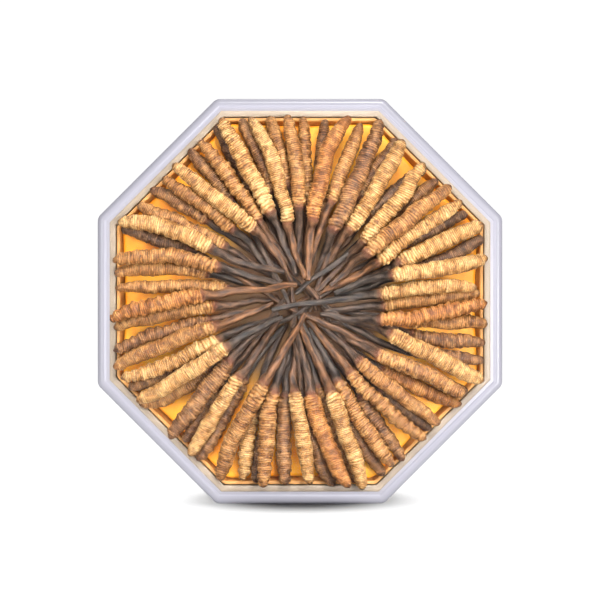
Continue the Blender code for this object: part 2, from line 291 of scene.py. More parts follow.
@dataclass(frozen=True)
class SatinCloth:
    """Dyed polyester satin, woven with long floats, which gives it a broad soft sheen.

    Its colour lies in soft patches of a lit and a shaded copy: painted light and shade. Towards the
    middle, where the stalks lie on it, it darkens to a dark brown: painted shade of the heap.
    """

    name: str
    # A lit and a shaded copy of the cloth's colour, laid in patches: painted light and shade.
    lit: str = "#FFB52E"
    shaded: str = "#F28D12"
    # The dark brown that the middle darkens to: painted shade of the heap.
    middle_shade: str = "#3A2416"
    sheen: str = "#FFC060"
    # How strongly, and between which reaches from the axis, the middle darkens: painted shade.
    middle_shade_share: float = 0.0
    middle_shade_from: float = 24 * MM
    middle_shade_to: float = 38 * MM
    centre_z: float = 60 * MM
    thread_mm: float = 0.45
    cloud_mm: float = 9.0
    roughness: float = 0.48

    def build(self) -> bpy.types.Material:
        """Build the material; threads are drawn coarser than real ones so that they show.

        Returns:
            The material.
        """
        graph = Graph(self.name)
        place = graph.add("TexCoord").outputs["Object"]
        scale = 1 / (self.thread_mm * MM) / math.pi / 2
        warp, weft = (
            graph.add(
                "TexWave", {"wave_type": "BANDS", "bands_direction": direction},
                Vector=place, Scale=scale, Distortion=0.6,
            ).outputs["Fac"]
            for direction in ("X", "Z")
        )
        weave = graph.add("Math", {"operation": "MULTIPLY"}, input_0=warp, input_1=weft)
        cloud = graph.add("TexNoise", Vector=place, Scale=1 / (self.cloud_mm * MM), Detail=3.0)
        blend = graph.add("MapRange", Value=cloud.outputs["Fac"], From_Min=0.35, From_Max=0.65)
        # Patches of the lit and the shaded colour by a cloud of noise: painted light and shade.
        painted_light_and_shade = graph.add(
            "Mix", {"data_type": "RGBA"}, input_0=blend.outputs[0],
            input_6=srgb(self.shaded), input_7=srgb(self.lit),
        )
        # Darker towards the middle, by the reach from the axis: painted shade.
        from_axis = graph.add(
            "VectorMath", {"operation": "SUBTRACT"}, input_0=place, input_1=(0.0, 0.0, self.centre_z)
        ).outputs[0]
        flat = graph.add(
            "VectorMath", {"operation": "MULTIPLY"}, input_0=from_axis, input_1=(1.0, 0.0, 1.0)
        ).outputs[0]
        reach = graph.add("VectorMath", {"operation": "LENGTH"}, input_0=flat).outputs["Value"]
        middle_shading = graph.add(
            "MapRange", Value=reach, From_Min=self.middle_shade_from, From_Max=self.middle_shade_to,
            To_Min=self.middle_shade_share, To_Max=0.0,
        )
        middle_shaded = graph.add(
            "Mix", {"data_type": "RGBA"}, input_0=middle_shading.outputs[0],
            input_6=painted_light_and_shade.outputs[2], input_7=srgb(self.middle_shade),
        )
        bump = graph.add("Bump", Height=weave.outputs[0], Strength=0.25, Distance=0.05 * MM)
        shader = graph.add(
            "BsdfPrincipled", Base_Color=middle_shaded.outputs[2], Roughness=self.roughness,
            Sheen_Weight=0.15, Sheen_Roughness=0.4, Sheen_Tint=srgb(self.sheen),
            Specular_IOR_Level=0.35, Normal=bump.outputs[0],
        )
        return graph.finish(shader)


@dataclass(frozen=True)
class StudioCard:
    """White acrylic sweep of a product table, sanded matt, which glows; round the case its glow fades
    out to its grey colour, a painted contact shadow.
    """

    name: str = "acrylic_sweep"
    # The sweep's grey shows where its glow fades out round the case: painted contact shadow.
    colour: str = "#6E6E6E"
    light: str = "#FFFFFF"
    roughness: float = 0.6
    # The glow at the case and the reaches over which it rises: a painted contact shadow.
    painted_shadow_glow: float = 0.0
    far_glow: float = 1.0
    painted_shadow_from: float = 16 * MM
    painted_shadow_to: float = 41 * MM

    def build(self) -> bpy.types.Material:
        """Build the material; its glow fades out round where the case stands, a painted contact shadow.

        Returns:
            The material.
        """
        graph = Graph(self.name)
        place = graph.add("TexCoord").outputs["Object"]
        spread = graph.add(
            "VectorMath", {"operation": "MULTIPLY"}, input_0=place, input_1=(1.0, 1.0, 0.0)
        ).outputs[0]
        reach = graph.add("VectorMath", {"operation": "LENGTH"}, input_0=spread).outputs["Value"]
        # No glow round the case, full glow further out: painted contact shadow.
        glow = graph.add(
            "MapRange", {"interpolation_type": "SMOOTHSTEP"}, Value=reach,
            From_Min=self.painted_shadow_from, From_Max=self.painted_shadow_to,
            To_Min=self.painted_shadow_glow, To_Max=self.far_glow,
        )
        shader = graph.add(
            "BsdfPrincipled", Base_Color=srgb(self.colour), Roughness=self.roughness,
            Specular_IOR_Level=0.02, Emission_Color=srgb(self.light),
            Emission_Strength=glow.outputs[0],
        )
        return graph.finish(shader)


# ------------------------------------------------------------------ meshes from arrays


def closed_grid_faces(rows: int, columns: int) -> tuple[Array, Array]:
    """Return the quads and the two end fans of a tube with a pole at each end.

    The vertices are the first pole, then rows of columns points, then the last pole.

    Args:
        rows: number of rings between the poles.
        columns: points in a ring.

    Returns:
        The quads and the triangles, as arrays of vertex numbers.
    """
    ring = np.arange(columns)
    after = (ring + 1) % columns
    base = 1 + np.arange(rows - 1)[:, None] * columns
    quads = np.stack(
        (base + ring, base + after, base + columns + after, base + columns + ring), axis=-1
    ).reshape(-1, 4)
    last = 1 + (rows - 1) * columns
    start = np.stack((np.zeros(columns, int), 1 + after, 1 + ring), axis=-1)
    end = np.stack((np.full(columns, last + columns), last + ring, last + after), axis=-1)
    return quads, np.concatenate((start, end))


def signed_volume(points: Array, quads: Array, triangles: Array) -> float:
    """Return the volume that the faces enclose.

    It is the sum over the triangles of a sixth of first . (second x third).

    Args:
        points: vertices, one row each.
        quads: faces with four corners.
        triangles: faces with three corners.

    Returns:
        The volume, positive where the faces point outwards.
    """
    corners = np.concatenate((quads[:, [0, 1, 2]], quads[:, [0, 2, 3]], triangles))
    first, second, third = (points[corners[:, place]] for place in range(3))
    return float(np.einsum("ij,ij->i", first, np.cross(second, third)).sum() / 6)


def mesh_object(name: str, points: Array, quads: Array, triangles: Array) -> bpy.types.Object:
    """Put arrays into a new smooth-shaded mesh object at the origin.

    Args:
        name: the piece's name.
        points: vertices, one row each.
        quads: faces with four corners.
        triangles: faces with three corners.

    Returns:
        The object, linked to the scene, with its faces outwards.
    """
    if signed_volume(points, quads, triangles) < 0:
        quads, triangles = quads[:, ::-1], triangles[:, ::-1]
    mesh = bpy.data.meshes.new(name)
    mesh.vertices.add(len(points))
    mesh.vertices.foreach_set("co", points.astype(np.float32).ravel())
    corners = np.concatenate((quads.ravel(), triangles.ravel())).astype(np.int32)
    mesh.loops.add(len(corners))
    mesh.loops.foreach_set("vertex_index", corners)
    sizes = np.concatenate((np.full(len(quads), 4), np.full(len(triangles), 3)))
    starts = np.concatenate(([0], np.cumsum(sizes)[:-1])).astype(np.int32)
    mesh.polygons.add(len(sizes))
    mesh.polygons.foreach_set("loop_start", starts)
    mesh.update(calc_edges=True)
    mesh.shade_smooth()
    piece = bpy.data.objects.new(name, mesh)
    bpy.context.scene.collection.objects.link(piece)
    return piece


def set_attribute(piece: bpy.types.Object, name: str, values: Array) -> None:
    """Store a number or a vector a vertex; the poles take their neighbours' values.

    Args:
        piece: the piece, whose first and last vertices are poles.
        name: the attribute's name.
        values: one row for each vertex between the poles, of one or three numbers.
    """
    rows = np.concatenate((values[:1], values, values[-1:])).astype(np.float32)
    kind, key = ("FLOAT", "value") if rows.shape[1] == 1 else ("FLOAT_VECTOR", "vector")
    piece.data.attributes.new(name, kind, "POINT").data.foreach_set(key, rows.ravel())


def finish_piece(
    piece: bpy.types.Object, material: bpy.types.Material, replaced: Sequence[str] = ()
) -> bpy.types.Object:
    """Dress a piece, let it ride, and hide the solids that it stands for.

    Args:
        piece: the piece.
        material: its finish.
        replaced: nodes of the solids that it stands for.

    Returns:
        The same piece.
    """
    piece.data.materials.append(material)
    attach(piece, "root")
    if replaced:
        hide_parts(*replaced)
    LOG.info("%s: %d faces", piece.name, len(piece.data.polygons))
    return piece


# ------------------------------------------------------------------ the octagonal pieces

# A face closes round its pole from a small octagon, this share of the piece's size.
POLE_SHARE = 0.02


@dataclass
class Octagon:
    """A rounded octagon in the XZ plane, a flat downwards, centred on the case."""

    centre_z: float
    arc_steps: int = 8
    flat_steps: int = 6
    roundest: float = 0.98

    def outline(self, half: float, radius: float) -> Array:
        """Return the outline's points (x, z), the same number for every size.

        Each corner is an arc whose centre lies on the corner's bearing, so that the arc
        meets both flats; between two arcs the points divide the flat evenly.

        Args:
            half: distance from the middle to a flat.
            radius: the corner's radius.

        Returns:
            One row a point, in order round the octagon.
        """
        radius = min(radius, half * self.roundest)
        eighth = math.pi / 4
        centre_reach = (half - radius) / math.cos(eighth / 2)
        corner = (np.arange(8) + 0.5)[:, None] * eighth
        swing = np.linspace(-eighth / 2, eighth / 2, self.arc_steps + 1)[None, :]
        x = centre_reach * np.sin(corner) + radius * np.sin(corner + swing)
        z = centre_reach * np.cos(corner) + radius * np.cos(corner + swing)
        arcs = np.stack((x, z), axis=-1)
        share = (np.arange(1, self.flat_steps) / self.flat_steps)[None, :, None]
        flats = arcs[:, -1:, :] * (1 - share) + np.roll(arcs, -1, axis=0)[:, :1, :] * share
        return np.concatenate((arcs, flats), axis=1).reshape(-1, 2)

    def carry(self, name: str, profile: Sequence[tuple[float, float, float]]) -> bpy.types.Object:
        """Carry a profile round the octagon into one closed skin.

        Args:
            name: the piece's name.
            profile: rows of (half, y, corner radius) from the first pole to the last; the
                poles lie on the axis at the first and last row's y.

        Returns:
            The piece.
        """
        rings = [self.outline(half, radius) for half, _, radius in profile]
        count = len(rings[0])
        points = np.empty((len(profile) * count + 2, 3))
        grid = points[1:-1].reshape(len(profile), count, 3)
        grid[:, :, 0] = [ring[:, 0] for ring in rings]
        grid[:, :, 1] = np.array([y for _, y, _ in profile])[:, None]
        grid[:, :, 2] = [ring[:, 1] + self.centre_z for ring in rings]
        points[0] = (0.0, profile[0][1], self.centre_z)
        points[-1] = (0.0, profile[-1][1], self.centre_z)
        quads, triangles = closed_grid_faces(len(profile), count)
        return mesh_object(name, points, quads, triangles)


def fillet(
    corner: tuple[float, float], start: tuple[float, float], end: tuple[float, float], steps: int = 5
) -> list[tuple[float, float]]:
    """Return a rounded corner as points of a quarter ellipse.

    The curve leaves start towards the corner and comes to end from the corner:
    a point is corner + (start - corner)(1 - sin t) + (end - corner)(1 - cos t).

    Args:
        corner: where the two straight runs would meet.
        start: where the round begins.
        end: where it ends.
        steps: number of pieces.

    Returns:
        The points, ends included.
    """
    turn = np.linspace(0, math.pi / 2, steps + 1)
    first = (np.array(start) - corner) * (1 - np.sin(turn))[:, None]
    second = (np.array(end) - corner) * (1 - np.cos(turn))[:, None]
    return [tuple(point) for point in np.array(corner) + first + second]


def with_radius(
    points: Sequence[tuple[float, float]], outer_half: float, outer_radius: float, least: float
) -> list[tuple[float, float, float]]:
    """Add to each (half, y) the corner radius that an even inset leaves, never under the least."""
    return [(half, y, max(least, outer_radius - (outer_half - half))) for half, y in points]


@dataclass
class ClearCase:
    """The lid and the base, moulded in clear polystyrene."""

    octagon: Octagon
    lid_wall: float = 1.6 * MM
    base_wall: float = 2.0 * MM
    corner_radius: float = 3.0 * MM
    edge_radius: float = 1.5 * MM
    rim_radius: float = 0.35 * MM
    panel_recess: float = 0.25 * MM
    panel_step: float = 1.2 * MM
    rest_width: float = 0.15 * MM
    step_round: float = 0.1 * MM
    lid_root: float = 0.7 * MM
    slide_gap: float = 0.3 * MM
    back_round: float = 0.6 * MM
    outer_root: float = 0.25 * MM
    inner_root: float = 0.5 * MM
    least_radius: float = 0.3 * MM
    sharp_degrees: float = 50.0
    window_half: float = 56.6 * MM
    wall_half: float = 55.9 * MM
    flange_half: float = 58.3 * MM
    satin_depth: float = 1.9 * MM

    def lid_profile(self) -> list[tuple[float, float, float]]:
        """Work out the lid's profile: a sunk window, a rounded edge, the side and the inside.

        A row of points a little past each round keeps the flat beside it flat.

        Returns:
            Rows of (half, y, corner radius), from the middle of the front to the middle inside.
        """
        low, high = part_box("case_lid")
        half = (high[0] - low[0]) / 2
        front, back = low[1], high[1]
        inner = half - self.lid_wall
        edge, rim, step, root = self.edge_radius, self.rim_radius, self.step_round, self.lid_root
        panel = half - edge - self.panel_step
        sunk = front + self.panel_recess
        inside = front + self.lid_wall + self.rest_width
        hold = 0.3 * MM
        points = [(half * POLE_SHARE, sunk), (panel - MM, sunk), (panel - step, sunk)]
        points += fillet((panel, sunk), (panel - step, sunk), (panel + step, front + step), 2)
        points += [(panel + self.panel_recess, front), (half - edge - step / 2, front)]
        points += fillet((half, front), (half - edge, front), (half, front + edge), 8)
        points += [(half, front + edge + hold), (half, back - rim - hold)]
        points += fillet((half, back), (half, back - rim), (half - rim, back), 3)
        points += fillet((inner, back), (inner + rim, back), (inner, back - rim), 3)
        points += [(inner, back - rim - hold), (inner, inside + 4 * hold)]
        points += fillet((inner, inside), (inner, inside + root), (inner - root, inside), 4)
        points += [(inner - 4 * hold, inside), (half * POLE_SHARE, inside)]
        return with_radius(points, half, self.corner_radius, self.least_radius)

    def base_profile(self) -> list[tuple[float, float, float]]:
        """Work out the base's profile: the back, the flange that the lid meets, and the wall.

        Rows of points past the rounds hold the flats here too.

        Returns:
            Rows of (half, y, corner radius), from the middle of the back to the middle of
            the floor.
        """
        low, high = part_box("case_base")
        half = (high[0] - low[0]) / 2
        back, rim_y = high[1], low[1]
        floor = back - self.base_wall
        outer = half - self.lid_wall - self.slide_gap
        inner = outer - self.base_wall
        rim, low_edge, foot, root = self.rim_radius, self.back_round, self.outer_root, self.inner_root
        hold = 0.2 * MM
        points = [(half * POLE_SHARE, back), (half - 2 * low_edge, back)]
        points += fillet((half, back), (half - low_edge, back), (half, back - low_edge), 4)
        points += [(half, floor + rim + hold)]
        points += fillet((half, floor), (half, floor + rim), (half - rim, floor), 3)
        points += [(outer + 2 * foot, floor)]
        points += fillet((outer, floor), (outer + foot, floor), (outer, floor - foot), 2)
        points += [(outer, floor - 3 * hold), (outer, rim_y + rim + hold)]
        points += fillet((outer, rim_y), (outer, rim_y + rim), (outer - rim, rim_y), 3)
        points += fillet((inner, rim_y), (inner + rim, rim_y), (inner, rim_y + rim), 3)
        points += [(inner, rim_y + rim + hold), (inner, floor - 4 * hold)]
        points += fillet((inner, floor), (inner, floor - root), (inner - root, floor), 3)
        points += [(inner - 2 * root, floor), (half * POLE_SHARE, floor)]
        return with_radius(points, half, self.corner_radius, self.least_radius)

    def face_places(self, piece: bpy.types.Object) -> tuple[Array, Array]:
        """Find where each face's middle lies.

        Args:
            piece: a moulding round the octagon's axis.

        Returns:
            How far each face lies from the axis towards its flat, and its y.
        """
        centres = np.empty(len(piece.data.polygons) * 3)
        piece.data.polygons.foreach_get("center", centres)
        x, depth, z = centres.reshape(-1, 3).T
        bearing = np.arctan2(x, z - self.octagon.centre_z)
        eighth = math.pi / 4
        from_flat = bearing - np.round(bearing / eighth) * eighth
        return np.hypot(x, z - self.octagon.centre_z) * np.cos(from_flat), depth

    def frost(self, piece: bpy.types.Object, finish: bpy.types.Material, faces: Array) -> None:
        """Give some faces of a clear moulding a second finish."""
        piece.data.materials.append(finish)
        piece.data.polygons.foreach_set("material_index", faces.astype(np.int32))

    def build(
        self, clear: bpy.types.Material, satin: bpy.types.Material, milky: bpy.types.Material
    ) -> None:
        """Build both mouldings and frost the lid's front edge and the base's wall.

        The windows and the lid's sides are clear, and the lid lets the lamps reach what it
        holds.

        Args:
            clear: the polished plastic of both mouldings.
            satin: the finish of the lid's front edge.
            milky: the finish of the base's wall.
        """
        lid = self.octagon.carry("clear_lid", self.lid_profile())
        base = self.octagon.carry("clear_base", self.base_profile())
        for piece, node in ((lid, "case_lid"), (base, "case_base")):
            piece.data.set_sharp_from_angle(angle=math.radians(self.sharp_degrees))
            finish_piece(piece, clear, [node])
            piece.visible_shadow = piece is base
        half, depth = self.face_places(lid)
        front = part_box("case_lid")[0][1]
        self.frost(lid, satin, (half > self.window_half) & (depth < front + self.satin_depth))
        half, depth = self.face_places(base)
        self.frost(base, milky, (half > self.wall_half) & (half < self.flange_half))


@dataclass
class SatinBed:
    """The cloth-covered tray and the padded cushion in it."""

    octagon: Octagon
    tray_wall: float = 2.4 * MM
    tray_rim: float = 1.1 * MM
    bulge: float = 1.0 * MM
    tray_radius: float = 2.0 * MM
    cushion_radius: float = 5.0 * MM
    tray_round: float = 0.5 * MM
    tray_root: float = 0.4 * MM
    cushion_round: float = 1.5 * MM
    side_run: float = 0.7 * MM
    crown: float = 0.5 * MM
    crown_rows: int = 14
    edge_radius: float = 1.3 * MM
    pull: float = 0.7 * MM
    fold_height: float = 0.2 * MM
    fold_place: float = 0.93
    fold_width: float = 0.07

    def build_tray(self, cloth: bpy.types.Material) -> None:
        """Build the tray: its rim is a thin roll of cloth, and the wall thickens inwards.

        Args:
            cloth: the finish of the whole tray.
        """
        low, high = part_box("cloth_tray")
        half = (high[0] - low[0]) / 2
        front, back = low[1], high[1]
        inner = half - self.tray_wall
        floor = back - self.tray_wall
        edge = half - self.tray_rim
        roll, low_edge, root = self.tray_rim / 2, self.tray_round, self.tray_root
        points = [(half * POLE_SHARE, back), (half - 2 * low_edge, back)]
        points += fillet((half, back), (half - low_edge, back), (half, back - low_edge), 3)
        points += [(half, front + 2.2 * roll)]
        points += fillet((half, front), (half, front + 0.4 * roll), (half - 0.4 * roll, front), 5)
        points += fillet((edge, front), (edge + roll, front), (edge, front + roll), 5)[1:]
        points += [(edge, front + 3.5 * roll), (inner, (front + floor) / 2), (inner, floor - 2 * root)]
        points += fillet((inner, floor), (inner, floor - root), (inner - root, floor), 2)
        points += [(half * POLE_SHARE, floor)]
        piece = self.octagon.carry("satin_tray", with_radius(points, half, self.tray_radius, low_edge))
        finish_piece(piece, cloth, ["cloth_tray"])

    def build_cushion(self, cloth: bpy.types.Material) -> None:
        """Build the cushion: a crowned pad whose sides pull in between its corners.

        The front rises towards the middle with the square of the share of the way in, each
        side bows in by a raised cosine between two corners, and low folds run in from the edge.

        Args:
            cloth: the finish of the cushion.
        """
        low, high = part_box("cushion")
        half = (high[0] - low[0]) / 2
        front, back = low[1], high[1]
        inward = np.linspace(0.0, 1.0, self.crown_rows + 1)[1:]
        sag = self.crown * (1 - inward) ** 2
        low_edge, roll = self.cushion_round, self.edge_radius
        points = [(half * POLE_SHARE, back), (half - low_edge - 0.1 * MM, back)]
        points += fillet((half, back), (half - low_edge, back), (half, back - low_edge), 4)
        side = back - low_edge - self.side_run
        points += [(half, side), (half + 0.4 * self.bulge, side - MM)]
        wide = half + self.bulge
        lip = front + self.crown
        points += fillet((wide, lip), (wide, lip + roll), (wide - roll, lip), 6)
        reach = (wide - roll) * (1 - inward) + half * POLE_SHARE * inward
        points += [(float(a), float(front + b)) for a, b in zip(reach, sag)]
        profile = with_radius(points, wide, self.cushion_radius, low_edge)
        piece = self.octagon.carry("satin_cushion", profile)
        self.pull_sides(piece, wide)
        finish_piece(piece, cloth, ["cushion"])

    def pull_sides(self, piece: bpy.types.Object, half: float) -> None:
        """Pull the sides in between the corners and press folds into the front.

        The pull is a raised cosine of the bearing times the sixth power of the share of the
        way out. The folds are a product of sines of the bearing, under a bell at the edge.

        Args:
            piece: the cushion.
            half: its greatest size from the axis to a flat.
        """
        count = len(piece.data.vertices)
        points = np.empty(count * 3)
        piece.data.vertices.foreach_get("co", points)
        points = points.reshape(-1, 3)
        x, z = points[:, 0], points[:, 2] - self.octagon.centre_z
        bearing = np.arctan2(x, z)
        reach = np.hypot(x, z)
        share = np.clip(reach / half, 0, 1.1)
        bow = 0.5 + 0.5 * np.cos(8 * bearing)
        inset = 1 - self.pull / half * bow * share**6
        folds = np.sin(37 * bearing + 3 * np.sin(5 * bearing)) * np.sin(11 * bearing)
        edge = np.exp(-(((share - self.fold_place) / self.fold_width) ** 2))
        points[:, 0] = x * inset
        points[:, 2] = z * inset + self.octagon.centre_z
        points[:, 1] += self.fold_height * (1 + folds) * edge
        piece.data.vertices.foreach_set("co", points.ravel())
        piece.data.update()

    def build(self, clean: bpy.types.Material, middle_shaded: bpy.types.Material) -> None:
        """Build the tray in clean cloth and the cushion in cloth that darkens towards the middle as
        painted shade.
        """
        self.build_tray(clean)
        self.build_cushion(middle_shaded)


# ------------------------------------------------------------------ the fungi


class Habit(Enum):
    """How the larva dried, which sets the relief of its skin."""

    RINGED = "even rings all along"
    PLATED = "broad plates with deep creases"
    LUMPY = "swollen segments like beads"
    FOOTED = "feet upwards, in pairs"
    SLENDER = "thin, with fine rings"


class Tone(Enum):
    """The colour of a larva's skin, by the name of its material. The darkest is a shaded copy of the
    others, painted shade on fungi that lie low in the heap; umber is partly a darker brown of the skin
    and partly painted shade on the lowest layer.
    """

    STRAW = "skin_straw"
    TAN = "skin_tan"
    AMBER = "skin_amber"
    UMBER = "skin_umber"
    PAINTED_SHADE = "skin_dusky"


@dataclass(frozen=True)
class Relief:
    """Sizes of the skin's relief in millimetres."""

    ring_pitch: float
    ring_depth: float
    segment_swell: float
    side_teeth: float
    feet: float = 0.0


RELIEFS = {
    Habit.RINGED: Relief(0.62, 0.28, 0.10, 0.14),
    Habit.PLATED: Relief(0.78, 0.38, 0.16, 0.26),
    Habit.LUMPY: Relief(0.72, 0.25, 0.30, 0.20),
    Habit.FOOTED: Relief(0.70, 0.25, 0.18, 0.18, 0.42),
    Habit.SLENDER: Relief(0.60, 0.23, 0.12, 0.12),
}


@dataclass
class Line:
    """A fungus's middle line with its half-girths: stations from tail to stalk tip."""

    places: Array
    radii: Array
    head_station: int = 5

    def lengths(self) -> Array:
        """Return how far along each station lies."""
        steps = np.linalg.norm(np.diff(self.places, axis=0), axis=1)
        return np.concatenate(([0.0], np.cumsum(steps)))

    def at(self, along: Array) -> Array:
        """Return points at these lengths on a smooth curve through the stations.

        Between two stations the curve is a cubic whose slope at a station is the mean of
        the chords beside it, weighted by the other chord's length.

        Args:
            along: lengths from the tail.

        Returns:
            One point a row.
        """
        stops = self.lengths()
        chord = np.diff(self.places, axis=0) / np.diff(stops)[:, None]
        gap = np.diff(stops)
        weighed = chord[:-1] * gap[1:, None] + chord[1:] * gap[:-1, None]
        inner = weighed / (gap[:-1] + gap[1:])[:, None]
        slope = np.concatenate((chord[:1], inner, chord[-1:]))
        piece = np.clip(np.searchsorted(stops, along, side="right") - 1, 0, len(gap) - 1)
        width = gap[piece][:, None]
        t = ((along - stops[piece]) / gap[piece])[:, None]
        start, end = self.places[piece], self.places[piece + 1]
        return (
            start * (2 * t**3 - 3 * t**2 + 1)
            + end * (3 * t**2 - 2 * t**3)
            + slope[piece] * width * (t**3 - 2 * t**2 + t)
            + slope[piece + 1] * width * (t**3 - t**2)
        )


def line_of_node(name: str, rings: int = 9, sides: int = 8) -> Line:
    """Read a fungus's line and girths back from the rings of its solid.

    The eight corners at the tail's end are the first ring, and each further ring is the
    corners that the one before it touches. A ring's mean is the station, and the mean
    distance from it is the half-girth.

    Args:
        name: the solid's node.
        rings: rings in the solid.
        sides: corners of a ring.

    Returns:
        The line from tail to stalk tip.
    """
    mesh = frame["nodes"][name].data
    raw = np.empty(len(mesh.vertices) * 3)
    mesh.vertices.foreach_get("co", raw)
    corners, number = np.unique(np.round(raw.reshape(-1, 3), 6), axis=0, return_inverse=True)
    if len(corners) != rings * sides:
        raise ValueError(f"{name}: {len(corners)} corners")
    loops = np.empty(len(mesh.loops), dtype=np.int32)
    mesh.loops.foreach_get("vertex_index", loops)
    triangles = number.ravel()[loops].reshape(-1, 3)
    touching = np.zeros((len(corners), len(corners)), dtype=bool)
    for first, second in ((0, 1), (1, 2), (2, 0)):
        touching[triangles[:, first], triangles[:, second]] = True
    touching |= touching.T
    middle = corners.mean(axis=0)
    direction = np.linalg.svd(corners - middle, full_matrices=False)[2][0]
    order = np.argsort((corners - middle) @ direction)
    ends = (order[:sides], order[-sides:])
    widths = [np.linalg.norm(np.ptp(corners[end], axis=0)) for end in ends]
    ring = ends[int(np.argmax(widths))]
    met = np.zeros(len(corners), dtype=bool)
    places, radii = [], []
    for _ in range(rings):
        met[ring] = True
        places.append(corners[ring].mean(axis=0))
        radii.append(np.linalg.norm(corners[ring] - places[-1], axis=1).mean())
        ring = np.flatnonzero(touching[ring].any(axis=0) & ~met)
    return Line(np.array(places), np.array(radii))


def soft_noise(rng: np.random.Generator, along: Array, around: Array, cell: float, lobes: int) -> Array:
    """Return smooth noise between -1 and 1 on a surface that closes on itself.

    Random values on a lattice of cells along and lobes around are blended with a smooth
    step between neighbours, and the lattice wraps round.

    Args:
        rng: the source of the lattice's values.
        along: lengths along the surface, in any shape.
        around: angles around it, of the same shape.
        cell: the lattice's step along.
        lobes: the lattice's number of cells around.

    Returns:
        The noise, in the same shape.
    """
    count = int(along.max() / cell) + 3
    lattice = rng.uniform(-1, 1, (count, lobes))
    u = along / cell
    v = (around / (2 * math.pi)) % 1.0 * lobes
    row, column = np.floor(u).astype(int), np.floor(v).astype(int)
    s, t = u - row, v - column
    s, t = s * s * (3 - 2 * s), t * t * (3 - 2 * t)
    column, beside = column % lobes, (column + 1) % lobes
    near = lattice[row, column] * (1 - t) + lattice[row, beside] * t
    far = lattice[row + 1, column] * (1 - t) + lattice[row + 1, beside] * t
    return near * (1 - s) + far * s


